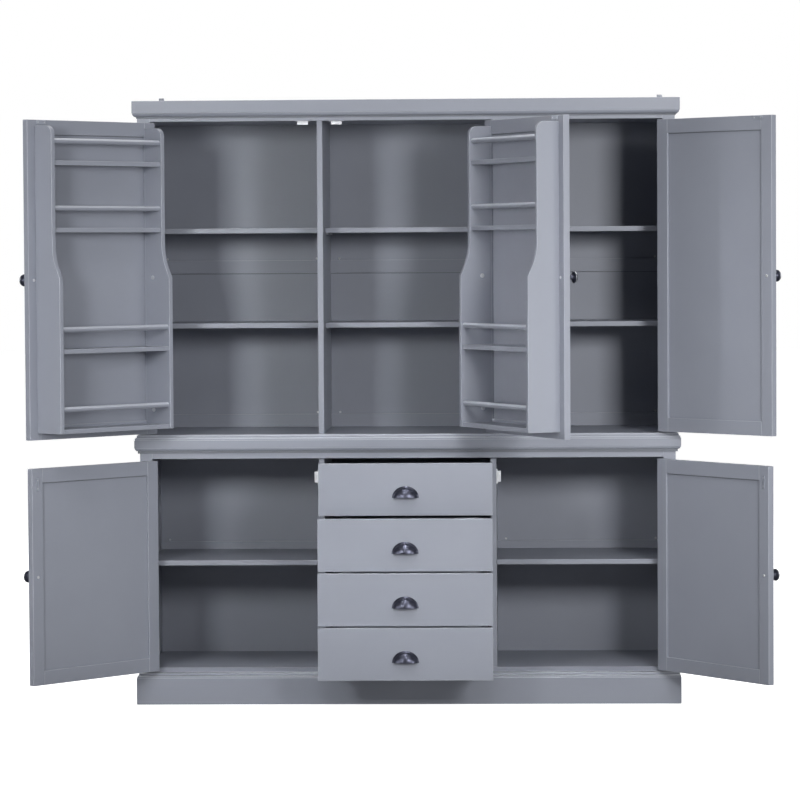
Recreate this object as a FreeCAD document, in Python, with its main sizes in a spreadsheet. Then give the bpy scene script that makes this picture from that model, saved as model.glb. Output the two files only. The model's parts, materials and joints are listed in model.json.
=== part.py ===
import FreeCAD, Part
import math
import os
import re
from collections import namedtuple

import Sketcher

# A painted kitchen pantry cabinet: a hutch with three doors, two of them carrying spice racks,
# on a base with two doors and a stack of four drawers. Millimetres, +Z up. The origin is on the
# floor under the middle of the carcass, the doors face -Y, and the doors and drawers stand open.

SIZES = {
    # Carcass
    "carcass_width": 1744,
    "carcass_depth": 510,
    "total_height": 1967,
    "board_thickness": 18,
    "back_board": 6,
    "floor_rise": 10,
    "waist_top": 882,
    "ceiling_rise": 3,
    "divider_offset": 280,
    "upright_setback": 2,
    # Face frames
    "frame_thickness": 21,
    "stile_width": 40,
    "base_rail_height": 61,
    "hutch_rail_height": 67,
    "mullion_left": 281,
    "mullion_width": 53,
    # Mouldings, each as heights down or up its face and how far it stands proud
    "cornice_projection": 16,
    "cornice_fascia": 40,
    "cornice_round": 12,
    "cornice_land": 5,
    "waist_projection": 17,
    "waist_bead": 9,
    "waist_fascia": 26,
    "waist_round": 9,
    "waist_land": 8,
    "plinth_projection": 16,
    "plinth_flat": 87,
    "plinth_bead": 9,
    "plinth_lip": 2,
    "moulding_quirk": 1.5,
    "bead_round": 6,
    # Shelves and back rails
    "shelf_thickness": 16,
    "shelf_clearance": 1,
    "hutch_upper_shelf_drop": 350,
    "hutch_lower_shelf_rise": 359,
    "hutch_shelf_setback": 150,
    "base_shelf_rise": 350,
    "base_shelf_setback": 40,
    "shelf_pin_radius": 3,
    "shelf_pin_length": 9,
    "shelf_pin_inset": 50,
    "back_rail_height": 43,
    "back_rail_thickness": 8,
    "hutch_back_rail_rise": 521,
    "base_back_rail_rise": 333,
    # Doors
    "door_thickness": 21,
    "door_stile": 45,
    "panel_thickness": 7,
    "groove_depth": 8,
    "reveal": 5,
    "hinge_gap": 3,
    "meeting_gap": 3,
    "upper_left_open": 131,
    "upper_middle_open": 116.5,
    "upper_right_open": 134.5,
    "lower_left_open": 130.4,
    "lower_right_open": 127,
    # Hinges
    "pin_stand": 4.5,
    "pin_radius": 2,
    "pin_clearance": 0.06,
    "knuckle_radius": 4,
    "knuckle_gap": 0.3,
    "hinge_height": 64,
    "hinge_inset": 75,
    "leaf_thickness": 1.2,
    "leaf_width": 20,
    # Knobs
    "knob_radius": 19,
    "knob_reach": 38,
    "knob_rim": 3,
    "knob_dome": 10,
    "knob_neck": 7,
    "knob_foot": 11,
    "knob_foot_height": 3,
    "knob_neck_length": 11,
    # Spice racks
    "rack_inset": 31,
    "rack_side": 15,
    "rack_bottom_gap": 22,
    "rack_top_gap": 19,
    "rack_depth_low": 110,
    "rack_depth_high": 77,
    "rack_slope_drop": 360,
    "rack_slope_height": 121,
    "rack_bend": 200,
    "rack_corner": 16,
    "rack_shelf_thickness": 14,
    "rack_shelf_setback": 5,
    "rack_second_shelf_rise": 251,
    "rack_third_shelf_drop": 335,
    "rack_top_shelf_drop": 124,
    "rack_rail_radius": 8.5,
    "rack_rail_rise": 76,
    "rack_rail_setback": 5,
    # Drawers
    "drawer_front_thickness": 20,
    "drawer_gap": 5,
    "drawer_side": 12,
    "drawer_floor": 6,
    "drawer_floor_rise": 8,
    "drawer_groove": 5,
    "drawer_box_height": 118,
    "drawer_box_rise": 20,
    "drawer_box_depth": 440,
    "top_pull_out": 215,
    "second_pull_out": 285,
    "third_pull_out": 300,
    "bottom_pull_out": 310,
    # Drawer runners
    "runner_space": 13,
    "channel_thickness": 12,
    "channel_web": 4,
    "channel_height": 32,
    "slide_height": 20,
    "slide_clearance": 0.3,
    # Cup pulls
    "pull_width": 86,
    "pull_height": 38,
    "pull_reach": 24,
    "pull_rim": 5,
    "pull_rim_thickness": 2,
    "pull_wall": 2.5,
    "pull_drop": 8,
    # Catches and wall brackets
    "catch_length": 48,
    "catch_body_length": 35,
    "catch_width": 15,
    "catch_height": 15,
    "catch_ear": 4,
    "catch_offset": 55,
    "base_catch_drop": 63,
    "catch_gap": 1.5,
    "bracket_offset": 30,
    "bracket_width": 18,
    "bracket_thickness": 2,
    "bracket_drop": 37,
    "bracket_rise": 30,
    "bracket_hole": 2.5,
    "bracket_hole_inset": 12,
}

doc = FreeCAD.newDocument("pantry_cabinet")
sheet = doc.addObject("Spreadsheet::Sheet", "Sizes")
for row, (alias, size) in enumerate(SIZES.items(), start=1):
    sheet.set(f"A{row}", alias)
    sheet.set(f"B{row}", str(size))
    sheet.setAlias(f"B{row}", alias)
doc.recompute()

# Planes that many pieces share, as expressions on the sheet
HALF = "(carcass_width / 2)"
OPENING = "(carcass_width / 2 - stile_width)"
FRONT = "(-carcass_depth / 2)"
BACK = "(carcass_depth / 2)"
FRAME_BACK = f"({FRONT} + frame_thickness)"
UPRIGHT_FRONT = f"({FRONT} + max(frame_thickness; door_thickness) + upright_setback)"
INSIDE_BACK = f"({BACK} - back_board)"
RAIL_FRONT = f"({INSIDE_BACK} - back_rail_thickness)"
INSIDE = f"({HALF} - board_thickness)"
PLINTH_TOP = "(plinth_flat + 2 * plinth_bead + plinth_lip)"
FLOOR = f"({PLINTH_TOP} + floor_rise)"
FLOOR_UNDER = f"({FLOOR} - board_thickness)"
BASE_ROOF = "(waist_top - board_thickness)"
BASE_OPENING_TOP = f"({BASE_ROOF} - base_rail_height)"
HUTCH_OPENING_TOP = "(total_height - hutch_rail_height)"
CEILING = f"({HUTCH_OPENING_TOP} + ceiling_rise)"
DIVIDER_OUTER = "(divider_offset + board_thickness / 2)"
DIVIDER_INNER = "(divider_offset - board_thickness / 2)"
MULLION_RIGHT = "(mullion_left + mullion_width)"
BACK_RAIL = "(waist_top + hutch_back_rail_rise)"
DOOR_LOW = f"({PLINTH_TOP} + reveal)"
DOOR_HIGH = f"({BASE_OPENING_TOP} - reveal)"
HUTCH_BAYS = [
    (f"-{INSIDE}", f"-{DIVIDER_OUTER}"),
    (f"-{DIVIDER_INNER}", "mullion_left"),
    ("mullion_left + board_thickness", INSIDE),
]
BASE_BAYS = [
    (f"-{INSIDE}", f"-{DIVIDER_OUTER}"),
    (f"-{DIVIDER_INNER}", DIVIDER_INNER),
    (DIVIDER_OUTER, INSIDE),
]

WORD = re.compile(r"[a-z][a-z_]+")
UPRIGHT_AXIS = FreeCAD.Vector(0, 0, 1)
ACROSS = FreeCAD.Rotation(FreeCAD.Vector(0, 1, 0), 90)
INWARD = FreeCAD.Rotation(FreeCAD.Vector(1, 0, 0), -90)
# A moulding's mitre in degrees, and a waste block's side in projections of the moulding
MITRE = 45
WASTE_SPAN = 3
# The ways a quarter round in an outline can set off
QUARTER_ROUNDS = ("level", "upright")
nodes = []


def bound(expression):
    """The expression with every size read from its cell."""
    return WORD.sub(lambda word: f"Sizes.{word[0]}" if word[0] in SIZES else word[0], str(expression))


def value(expression):
    """The number that an expression on the sheet comes to."""
    return float(sheet.evalExpression(bound(expression)))


def bind(piece, **expressions):
    """Tie a piece's own sizes to expressions on the sheet."""
    for size, expression in expressions.items():
        piece.setExpression(size, bound(expression))
    return piece


def place(piece, x="0", y="0", z="0", rotation=None):
    """Put a piece's own origin at a point given by expressions."""
    if rotation:
        piece.Placement = FreeCAD.Placement(FreeCAD.Vector(), rotation)
    for axis, expression in zip("xyz", (x, y, z)):
        piece.setExpression(f"Placement.Base.{axis}", bound(expression))
    return piece


def span(low, high):
    return f"({high}) - ({low})"


def board(name, x, y, z):
    """A flat board between two expressions on each axis."""
    piece = doc.addObject("Part::Box", name)
    bind(piece, Length=span(*x), Width=span(*y), Height=span(*z))
    return place(piece, x[0], y[0], z[0])


def rod(name, radius, length, x, y, z, rotation=None):
    """A round rod that starts at a point and runs up, or as it is turned."""
    piece = doc.addObject("Part::Cylinder", name)
    bind(piece, Radius=radius, Height=length)
    return place(piece, x, y, z, rotation)


def cut(name, base, *tools):
    """What is left of a piece once the tools are taken out of it."""
    piece = doc.addObject("Part::Cut", name)
    piece.Base = base
    piece.Tool = tools[0] if len(tools) == 1 else gather(name + "_waste", tools)
    return piece


def fuse(name, *pieces):
    """Pieces that are one solid."""
    piece = doc.addObject("Part::MultiFuse", name)
    piece.Shapes = list(pieces)
    piece.Refine = True
    return piece


def common(name, one, other):
    """What two pieces have in common."""
    piece = doc.addObject("Part::Common", name)
    piece.Base = one
    piece.Tool = other
    return piece


def gather(name, pieces):
    """Separate pieces held together as one object."""
    group = doc.addObject("Part::Compound", name)
    group.Links = list(pieces)
    return group


def node(label, *pieces):
    """One named sub-part of the cabinet."""
    group = gather(label, pieces)
    group.Label = label
    nodes.append(group)
    return group


def copy_of(name, piece):
    link = doc.addObject("App::Link", name)
    link.LinkedObject = piece
    return link


def mirrored(name, piece):
    """The same piece on the other side of the cabinet."""
    other = doc.addObject("Part::Mirroring", name)
    other.Source = piece
    other.Normal = FreeCAD.Vector(1, 0, 0)
    return other


def both_sides(label, piece):
    return node(label, piece, mirrored(label + "_right", piece))


def outline(body, plane, points):
    """A closed sketch on one of the body's own planes.

    A point is two expressions. A third entry of level or upright says that a quarter round
    runs from it to the next point and which way it sets off. Any other third entry is the
    radius that the corner there is rounded to.
    """
    sketch = body.newObject("Sketcher::SketchObject", body.Name + "_outline")
    support = next(f for f in body.Origin.OriginFeatures if f.Role == plane + "_Plane")
    sketch.AttachmentSupport = [(support, "")]
    sketch.MapMode = "FlatFace"
    corners = [FreeCAD.Vector(value(point[0]), value(point[1]), 0) for point in points]
    next_corners = corners[1:] + corners[:1]
    ends = [draw_side(sketch, *side) for side in zip(points, corners, next_corners)]
    for index, (point, corner) in enumerate(zip(points, corners)):
        following = (index + 1) % len(points)
        start, stop = ends[index]
        sketch.addConstraint(Sketcher.Constraint("Coincident", index, stop, following, ends[following][0]))
        tie(sketch, Sketcher.Constraint("DistanceX", -1, 1, index, start, corner.x), point[0])
        tie(sketch, Sketcher.Constraint("DistanceY", -1, 1, index, start, corner.y), point[1])
        if set(point[2:]) & set(QUARTER_ROUNDS):
            radius = f"abs({span(point[0], points[following][0])})"
            tie(sketch, Sketcher.Constraint("Radius", index, value(radius)), radius)
    for index, point in enumerate(points):
        if set(point[2:]) - set(QUARTER_ROUNDS):
            arc = sketch.GeometryCount
            sketch.fillet(index, ends[index][0], value(point[2]), True, True)
            tie(sketch, Sketcher.Constraint("Radius", arc, value(point[2])), point[2])
    return sketch


def tie(sketch, constraint, expression):
    """Add a dimension to a sketch and bind it to an expression on the sheet."""
    number = sketch.addConstraint(constraint)
    sketch.setExpression(f"Constraints[{number}]", bound(expression))


def draw_side(sketch, point, here, there):
    """Add one side of an outline, and say which of its ends comes first."""
    if not set(point[2:]) & set(QUARTER_ROUNDS):
        sketch.addGeometry(Part.LineSegment(here, there))
        return 1, 2
    level = point[2] == "level"
    centre = FreeCAD.Vector(here.x, there.y, 0) if level else FreeCAD.Vector(there.x, here.y, 0)
    start = math.atan2(here.y - centre.y, here.x - centre.x)
    stop = math.atan2(there.y - centre.y, there.x - centre.x)
    forward = (stop - start) % math.tau < math.pi
    first, last = (start, stop) if forward else (stop, start)
    circle = Part.Circle(centre, UPRIGHT_AXIS, here.distanceToPoint(centre))
    sketch.addGeometry(Part.ArcOfCircle(circle, first, first + (last - first) % math.tau))
    return (1, 2) if forward else (2, 1)


def padded(name, points, length):
    """A profile in depth and height, drawn out along X."""
    body = doc.addObject("PartDesign::Body", name)
    pad = body.newObject("PartDesign::Pad", name + "_pad")
    pad.Profile = outline(body, "YZ", points)
    bind(pad, Length=length)
    return body


def turned(name, points):
    """A profile of radius and reach, turned about its axis along -Y."""
    body = doc.addObject("PartDesign::Body", name)
    turn = body.newObject("PartDesign::Revolution", name + "_turn")
    sketch = outline(body, "XY", points)
    turn.Profile = sketch
    turn.ReferenceAxis = (sketch, ["V_Axis"])
    turn.Angle = 360
    return body


def mitre_waste(name, x, angle, reach, height):
    """The block that a mitre saw takes off at a front corner of the carcass."""
    block = doc.addObject("Part::Box", name)
    side = f"{WASTE_SPAN} * ({reach})"
    bind(block, Length=side, Width=side, Height=height)
    place(block, x, FRONT, "0", FreeCAD.Rotation(UPRIGHT_AXIS, angle))
    return block


def moulding(label, projection, profile):
    """A moulding along the front, returned along both sides, mitred at the corners."""
    points = [(f"-({point[0]})",) + tuple(point[1:]) for point in profile]
    tall = "2 * total_height"
    front = padded(label + "_front", points, f"carcass_width + 2 * {projection}")
    place(front, f"-{HALF} - {projection}", FRONT)
    front = cut(
        label + "_front_mitred",
        front,
        mitre_waste(label + "_left_waste", f"-{HALF}", 180 - MITRE, projection, tall),
        mitre_waste(label + "_right_waste", HALF, -MITRE, projection, tall),
    )
    side = padded(label + "_side", points, f"carcass_depth + {projection}")
    place(side, f"-{HALF}", BACK, "0", FreeCAD.Rotation(UPRIGHT_AXIS, -90))
    side_waste = mitre_waste(label + "_side_waste", f"-{HALF}", 180 + MITRE, projection, tall)
    side = cut(label + "_side_mitred", side, side_waste)
    return node(label, front, side, mirrored(label + "_right", side))


# Mouldings: each profile is how far out from the carcass, then how high, from the top down
def beads(out, top, bead):
    """Two beads above a moulding's flat face, each a quarter round over a short upright."""
    face = f"({out} - moulding_quirk)"
    middle = f"({top} - {bead})"
    foot = f"({middle} - {bead})"
    return [
        (f"{face} - 2 * bead_round", top, "level"),
        (f"{face} - bead_round", f"{top} - bead_round"),
        (f"{face} - bead_round", middle, "level"),
        (face, f"{middle} - bead_round"),
        (face, foot),
        (out, foot),
    ]


def under_round(out, top, radius, land):
    """A quirk under a moulding's flat face, a quarter round and a narrow land below it."""
    face = f"({out} - moulding_quirk)"
    round_foot = f"({top} - {radius})"
    foot = f"({round_foot} - {land})"
    return [
        (out, top),
        (face, top, "upright"),
        (f"{face} - {radius}", round_foot),
        (f"{face} - {radius}", foot),
        ("0", foot),
    ]


def cornice():
    out = "cornice_projection"
    fascia_foot = "(total_height - cornice_fascia)"
    moulding("cornice", out, [
        ("0", "total_height"),
        (out, "total_height"),
        *under_round(out, fascia_foot, "cornice_round", "cornice_land"),
    ])


def waist_moulding():
    out = "waist_projection"
    fascia_foot = "(waist_top - 2 * waist_bead - waist_fascia)"
    moulding("waist_moulding", out, [
        ("0", "waist_top"),
        *beads(out, "waist_top", "waist_bead"),
        *under_round(out, fascia_foot, "waist_round", "waist_land"),
    ])


def plinth():
    out = "plinth_projection"
    bead_top = f"({PLINTH_TOP} - plinth_lip)"
    moulding("plinth_moulding", out, [
        ("0", PLINTH_TOP),
        (f"{out} - moulding_quirk - 2 * bead_round", PLINTH_TOP),
        *beads(out, bead_top, "plinth_bead"),
        (out, "0"),
        ("0", "0"),
    ])
    bearers = [
        board(
            f"plinth_bearer_{number}",
            (f"{centre} - board_thickness / 2", f"{centre} + board_thickness / 2"),
            (FRAME_BACK, INSIDE_BACK),
            ("0", FLOOR_UNDER),
        )
        for number, centre in enumerate(("-divider_offset", "0", "divider_offset"))
    ]
    node("plinth_bearers", *bearers)


def base_carcass():
    depth = (FRAME_BACK, INSIDE_BACK)
    inner_depth = (UPRIGHT_FRONT, INSIDE_BACK)
    both_sides("base_sides", board("base_side", (f"-{HALF}", f"-{INSIDE}"), depth, ("0", BASE_ROOF)))
    divider = (f"-{DIVIDER_OUTER}", f"-{DIVIDER_INNER}")
    both_sides("base_dividers", board("base_divider", divider, inner_depth, (FLOOR, BASE_ROOF)))
    whole = (f"-{HALF}", HALF)
    between = (f"-{INSIDE}", INSIDE)
    node("base_bottom", board("base_floor", between, inner_depth, (FLOOR_UNDER, FLOOR)))
    node("base_top", board("base_roof", whole, (FRONT, BACK), (BASE_ROOF, "waist_top")))
    back_height = (FLOOR_UNDER, BASE_ROOF)
    node("base_back", board("base_back_board", whole, (INSIDE_BACK, BACK), back_height))
    front = (FRONT, FRAME_BACK)
    stile = board("base_stile", (f"-{HALF}", f"-{OPENING}"), front, ("0", BASE_ROOF))
    rail = (f"-{OPENING}", OPENING)
    node(
        "base_face_frame",
        stile,
        mirrored("base_stile_right", stile),
        board("base_top_rail", rail, front, (BASE_OPENING_TOP, BASE_ROOF)),
        board("base_bottom_rail", rail, front, ("0", FLOOR_UNDER)),
    )


def hutch_carcass():
    height = ("waist_top", "total_height")
    side = board("hutch_side", (f"-{HALF}", f"-{INSIDE}"), (FRAME_BACK, INSIDE_BACK), height)
    both_sides("hutch_sides", side)
    upright = ("waist_top", CEILING)
    left = (f"-{DIVIDER_OUTER}", f"-{DIVIDER_INNER}")
    right = ("mullion_left", "mullion_left + board_thickness")
    node(
        "hutch_dividers",
        board("hutch_divider_left", left, (UPRIGHT_FRONT, INSIDE_BACK), upright),
        board("hutch_divider_right", right, (FRAME_BACK, INSIDE_BACK), upright),
    )
    top = (CEILING, f"{CEILING} + board_thickness")
    node("hutch_top", board("hutch_roof", (f"-{INSIDE}", INSIDE), (FRAME_BACK, INSIDE_BACK), top))
    joint = f"{BACK_RAIL} + back_rail_height / 2"
    whole = (f"-{HALF}", HALF)
    node(
        "hutch_back_panels",
        board("hutch_back_low", whole, (INSIDE_BACK, BACK), ("waist_top", joint)),
        board("hutch_back_high", whole, (INSIDE_BACK, BACK), (joint, "total_height")),
    )
    front = (FRONT, FRAME_BACK)
    stile = board("hutch_stile", (f"-{HALF}", f"-{OPENING}"), front, height)
    rail = (f"-{OPENING}", OPENING)
    mullion = ("mullion_left", MULLION_RIGHT)
    node(
        "hutch_face_frame",
        stile,
        mirrored("hutch_stile_right", stile),
        board("hutch_top_rail", rail, front, (HUTCH_OPENING_TOP, "total_height")),
        board("hutch_mullion", mullion, front, ("waist_top", HUTCH_OPENING_TOP)),
    )


def back_rails():
    """Rails across the back of every bay, which stiffen the thin back boards."""
    rails = []
    for unit, bays, level in (
        ("hutch_middle", HUTCH_BAYS, BACK_RAIL),
        ("hutch_low", HUTCH_BAYS, "waist_top"),
        ("base", BASE_BAYS, f"({FLOOR} + base_back_rail_rise)"),
    ):
        height = (level, f"{level} + back_rail_height")
        for number, bay in enumerate(bays):
            rails.append(board(f"{unit}_back_rail_{number}", bay, (RAIL_FRONT, INSIDE_BACK), height))
    node("back_rails", *rails)


def shelf(name, bay, setback, level):
    """A loose shelf in its bay, and the four pins under its ends."""
    low, high = bay
    front = f"({FRONT} + {setback})"
    panel = board(
        name,
        (f"{low} + shelf_clearance", f"{high} - shelf_clearance"),
        (front, f"{RAIL_FRONT} - shelf_clearance"),
        (f"{level} - shelf_thickness", level),
    )
    pin_level = f"{level} - shelf_thickness - shelf_pin_radius"
    rows = {"front": f"{front} + shelf_pin_inset", "back": f"{RAIL_FRONT} - shelf_pin_inset"}
    ends = {"left": low, "right": f"{high} - shelf_pin_length"}
    pins = [
        rod(f"{name}_pin_{row}_{end}", "shelf_pin_radius", "shelf_pin_length", x, y, pin_level, ACROSS)
        for row, y in rows.items()
        for end, x in ends.items()
    ]
    return panel, pins


def shelves():
    upper = f"({CEILING} - hutch_upper_shelf_drop)"
    lower = "(waist_top + hutch_lower_shelf_rise)"
    in_base = f"({FLOOR} + base_shelf_rise)"
    pins = []
    for label, bays, setback, levels in (
        ("hutch_shelves", HUTCH_BAYS, "hutch_shelf_setback", (upper, lower)),
        ("base_shelves", (BASE_BAYS[0], BASE_BAYS[2]), "base_shelf_setback", (in_base,)),
    ):
        panels = []
        for level in levels:
            for bay in bays:
                panel, its_pins = shelf(f"{label}_{len(panels)}", bay, setback, level)
                panels.append(panel)
                pins += its_pins
        node(label, *panels)
    node("shelf_pins", *pins)


def about(centre, length):
    """The two ends of a length that lies evenly about a point."""
    return f"{centre} - {length} / 2", f"{centre} + {length} / 2"


def catches():
    """Magnetic catches: three under the hutch's ceiling, two on the base's dividers."""
    depth = (f"{UPRIGHT_FRONT} + catch_gap", f"{UPRIGHT_FRONT} + catch_gap + catch_width")
    pieces = []
    for number, centre in enumerate((
        "(-divider_offset - catch_offset)",
        "(-divider_offset + catch_offset)",
        f"({MULLION_RIGHT} + meeting_gap + catch_offset)",
    )):
        name = f"hutch_catch_{number}"
        ear_height = (f"{CEILING} - catch_ear", CEILING)
        ears = board(name + "_ears", about(centre, "catch_length"), depth, ear_height)
        magnet_height = (f"{CEILING} - catch_height", CEILING)
        magnet = board(name + "_magnet", about(centre, "catch_body_length"), depth, magnet_height)
        pieces.append(fuse(name, ears, magnet))
    centre = f"({BASE_OPENING_TOP} - base_catch_drop)"
    face = f"-{DIVIDER_OUTER}"
    ears = board("base_catch_ears", (f"{face} - catch_ear", face), depth, about(centre, "catch_length"))
    out = (f"{face} - catch_height", face)
    magnet = board("base_catch_magnet", out, depth, about(centre, "catch_body_length"))
    left = fuse("base_catch", ears, magnet)
    node("magnetic_catches", *pieces, left, mirrored("base_catch_right", left))


def wall_brackets():
    """Steel straps on the back edge that tie the cabinet to the wall."""
    centre = f"(-{HALF} + bracket_offset)"
    top = "total_height + bracket_rise"
    low = "total_height - bracket_drop"
    strap = board(
        "wall_strap",
        about(centre, "bracket_width"),
        (BACK, f"{BACK} + bracket_thickness"),
        (low, top),
    )
    levels = (f"{top} - bracket_hole_inset", f"{low} + bracket_hole_inset")
    holes = [
        rod(
            f"wall_strap_hole_{number}", "bracket_hole", "bracket_thickness",
            centre, BACK, level, INWARD,
        )
        for number, level in enumerate(levels)
    ]
    both_sides("wall_brackets", cut("wall_strap_drilled", strap, *holes))


# Doors. A door's own frame has its origin on the hinge pin's axis at floor level. Its pieces are
# drawn shut, by how far they lie from the pin towards the free edge and how far behind the pin.
Door = namedtuple("Door", "name hand pin_x free_x bottom top angle hinges")
LEFT_PIN = f"(-{OPENING} + hinge_gap / 2)"
RIGHT_PIN = f"({OPENING} - hinge_gap / 2)"
MIDDLE_PIN = "(mullion_left - hinge_gap / 2)"
LEFT_MEETING = "(-divider_offset - meeting_gap / 2)"
HUTCH_LOW = "(waist_top + reveal)"
HUTCH_HIGH = f"({HUTCH_OPENING_TOP} - reveal)"
DOORS = [
    Door("upper_left_door", 1, LEFT_PIN, LEFT_MEETING, HUTCH_LOW, HUTCH_HIGH, "upper_left_open", 3),
    Door(
        "upper_middle_door", -1, MIDDLE_PIN, "(-divider_offset + meeting_gap / 2)",
        HUTCH_LOW, HUTCH_HIGH, "upper_middle_open", 3,
    ),
    Door(
        "upper_right_door", -1, RIGHT_PIN, f"({MULLION_RIGHT} + meeting_gap)",
        HUTCH_LOW, HUTCH_HIGH, "upper_right_open", 3,
    ),
    Door("lower_left_door", 1, LEFT_PIN, LEFT_MEETING, DOOR_LOW, DOOR_HIGH, "lower_left_open", 2),
    Door(
        "lower_right_door", -1, RIGHT_PIN, "(divider_offset + meeting_gap / 2)",
        DOOR_LOW, DOOR_HIGH, "lower_right_open", 2,
    ),
]
RACKED = ("upper_left_door", "upper_middle_door")
PIN_Y = f"({FRONT} - pin_stand)"
HINGE_EDGE = "(hinge_gap / 2)"
OUTER_FACE = "pin_stand"
INNER_FACE = "(pin_stand + door_thickness)"


def free_edge(door):
    """How far the door's free edge lies from its pin."""
    return f"({door.hand} * (({door.free_x}) - ({door.pin_x})))"


def across(door, near, far):
    """The two ends along X of what lies between two distances from the pin."""
    return (near, far) if door.hand == 1 else (f"-({far})", f"-({near})")


def door_board(door, name, along, depth, height):
    return board(f"{door.name}_{name}", across(door, *along), depth, height)


def door_node(door, name, *pieces):
    """A sub-part of a door, swung open about its pin."""
    group = node(f"{door.name}_{name}", *pieces)
    place(group, door.pin_x, PIN_Y)
    bind(group, **{"Placement.Rotation.Angle": f"{-door.hand} * {door.angle}"})
    return group


def door_leaf(door):
    """A frame of two grooved stiles and two rails, tongued into them, round a flat panel."""
    edge = free_edge(door)
    inner = (f"{HINGE_EDGE} + door_stile", f"{edge} - door_stile")
    inset = "(door_stile - groove_depth)"
    panel_along = (f"{HINGE_EDGE} + {inset}", f"{edge} - {inset}")
    panel_height = (f"{door.bottom} + {inset}", f"{door.top} - {inset}")
    middle = f"({OUTER_FACE} + door_thickness / 2)"
    panel_depth = (f"{middle} - panel_thickness / 2", f"{middle} + panel_thickness / 2")
    panel = door_board(door, "panel_board", panel_along, panel_depth, panel_height)
    depth = (OUTER_FACE, INNER_FACE)
    whole = (door.bottom, door.top)
    groove = door_board(door, "groove", panel_along, panel_depth, whole)
    members = []
    for name, along in (("hinge_stile", (HINGE_EDGE, inner[0])), ("free_stile", (inner[1], edge))):
        stile = door_board(door, name, along, depth, whole)
        members.append(cut(f"{door.name}_{name}_grooved", stile, groove))
    for name, height in (
        ("low_rail", lambda part: (door.bottom, f"{door.bottom} + {part}")),
        ("high_rail", lambda part: (f"{door.top} - {part}", door.top)),
    ):
        rail = door_board(door, name, inner, depth, height("door_stile"))
        tongue = door_board(door, f"{name}_tongue", panel_along, panel_depth, height(inset))
        tongued = fuse(f"{door.name}_{name}_tongued", rail, tongue)
        members.append(cut(f"{door.name}_{name}_grooved", tongued, panel))
    door_node(door, "frame", *members)
    door_node(door, "panel", panel)


def knob(door):
    """A turned knob at mid height in the middle of the free stile."""
    neck_foot = "(knob_foot_height + knob_foot - knob_neck)"
    neck_top = f"({neck_foot} + knob_neck_length)"
    dome_foot = "(knob_reach - knob_dome)"
    body = turned(f"{door.name}_knob_body", [
        ("0", "0"),
        ("0", "-knob_reach"),
        ("knob_radius - knob_dome", "-knob_reach", "level"),
        ("knob_radius", f"-{dome_foot}"),
        ("knob_radius", f"-({dome_foot} - knob_rim)"),
        ("knob_neck", f"-{neck_top}"),
        ("knob_neck", f"-{neck_foot}", "upright"),
        ("knob_foot", "-knob_foot_height"),
        ("knob_foot", "0"),
    ])
    x = f"{door.hand} * ({free_edge(door)} - door_stile / 2)"
    place(body, x, OUTER_FACE, f"({door.bottom} + {door.top}) / 2")
    door_node(door, "knob", body)


def hinge_levels(door):
    """The heights of a door's hinges at their middles."""
    low = f"({door.bottom} + hinge_inset)"
    high = f"({door.top} - hinge_inset)"
    steps = door.hinges - 1
    return [f"({low} + ({high} - {low}) * {step} / {steps})" for step in range(door.hinges)]


def hinge_leaf(name, side, knuckles):
    """A leaf with its knuckles rolled round the pin, its plate in the hinge gap on one side of it."""
    half = "hinge_height / 2"
    clear = "(knuckle_radius + knuckle_gap)"
    wall_start = "(pin_radius + pin_clearance + knuckle_gap)"
    outer = "hinge_gap / 2"
    inner = "(hinge_gap / 2 - leaf_thickness)"
    thick = (inner, outer) if side > 0 else (f"-({outer})", f"-{inner}")
    parts = [board(name + "_plate", thick, (clear, f"{clear} + leaf_width"), (f"-{half}", half))]
    for number, (low, high) in enumerate(knuckles):
        parts.append(board(f"{name}_tab_{number}", thick, (wall_start, clear), (low, high)))
        parts.append(rod(f"{name}_roll_{number}", "knuckle_radius", span(low, high), "0", "0", low))
    bore = rod(name + "_bore", "pin_radius + pin_clearance", "hinge_height", "0", "0", f"-{half}")
    return cut(name, fuse(name + "_blank", *parts), bore)


def hinges():
    """Butt hinges: fixed leaves and pins on the face frame, moving leaves on the doors."""
    third = "hinge_height / 6"
    half = "hinge_height / 2"
    fixed = hinge_leaf("fixed_leaf", -1, [
        (f"-{half}", f"-{third} - knuckle_gap"),
        (f"{third} + knuckle_gap", half),
    ])
    moving = hinge_leaf("moving_leaf", 1, [(f"-{third}", third)])
    over = FreeCAD.Rotation(FreeCAD.Vector(0, 1, 0), 180)
    fixed_leaves = []
    pins = []
    for door in DOORS:
        moving_leaves = []
        turn = None if door.hand == 1 else over
        for number, level in enumerate(hinge_levels(door)):
            mark = f"{door.name}_{number}"
            fixed_leaves.append(place(copy_of(f"{mark}_fixed", fixed), door.pin_x, PIN_Y, level, turn))
            moving_leaves.append(place(copy_of(f"{mark}_moving", moving), "0", "0", level, turn))
            low = f"{level} - hinge_height / 2"
            pins.append(rod(f"{mark}_pin", "pin_radius", "hinge_height", door.pin_x, PIN_Y, low))
        door_node(door, "hinge_leaves", *moving_leaves)
    node("hinge_fixed_leaves", *fixed_leaves)
    node("hinge_pins", *pins)


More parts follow.
